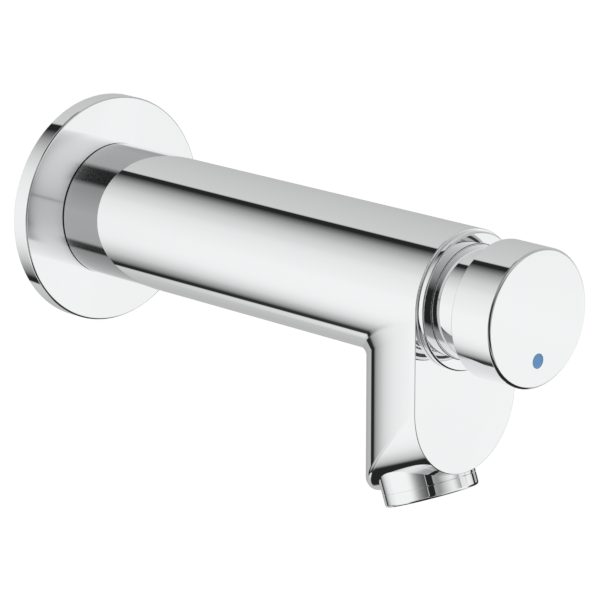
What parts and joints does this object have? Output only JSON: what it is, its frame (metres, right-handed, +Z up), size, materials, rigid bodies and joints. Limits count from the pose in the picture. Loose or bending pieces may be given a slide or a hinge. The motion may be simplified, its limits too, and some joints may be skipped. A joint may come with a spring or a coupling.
{
  "type": "push timed wall tap",
  "caption": "Wall-mounted self-closing tap: round wall flange, straight tube body, short rounded spout leg, forward-slanted outlet ring and a spring-returned push button on the front.",
  "frame": {"origin": "centre of the wall flange's back face, where the inlet's axis meets the wall", "axes": "+Y into the wall along the inlet, so the tap stands out along -Y; +Z up; +X to the right seen from the front"},
  "size_m": [0.07, 0.2003, 0.0999],
  "materials": {
    "chrome": "polished chrome plate",
    "brass": "turned brass",
    "steel": "bright turned stainless steel",
    "gauze": "woven steel gauze",
    "rubber": "matt black rubber",
    "foam": "closed-cell foam",
    "white_plastic": "moulded white plastic",
    "grey_plastic": "moulded dark grey plastic",
    "blue_marker": "glossy blue plastic"
  },
  "bodies": {
    "fixed_body": {"wall_flange": "chrome", "flange_seal": "foam", "tap_body": "chrome", "inlet_nipple": "brass", "nipple_o_ring": "rubber", "strainer_frame": "white_plastic", "strainer_mesh": "gauze", "cartridge_housing": "brass", "housing_o_rings": "rubber", "valve_seat": "brass", "seat_gasket": "rubber", "stem_seal": "rubber", "seal_retainer": "white_plastic", "metering_pin": "steel", "guide_sleeve": "chrome", "stem_bush": "white_plastic", "front_collar": "chrome", "guide_ring": "white_plastic", "return_spring": "steel", "aerator_housing": "chrome", "aerator_gasket": "rubber", "aerator_insert": "white_plastic", "aerator_strainer": "gauze", "aerator_grid": "white_plastic"},
    "button_body": {"push_button": "chrome", "cold_marker": "blue_marker", "button_insert": "grey_plastic", "plunger_stem": "steel", "piston": "white_plastic", "piston_lip_seal": "rubber", "piston_circlip": "steel", "valve_holder": "brass", "valve_washer": "rubber", "valve_nut": "steel"}
  },
  "joints": [
    {"name": "button_press", "type": "slide", "parent": "fixed_body", "child": "button_body", "axis": [0, 1, 0], "range_m": [0, 0.007], "stiffness_N_per_m": 2000, "springref_m": -0.006, "deforming": ["return_spring"]}
  ]
}
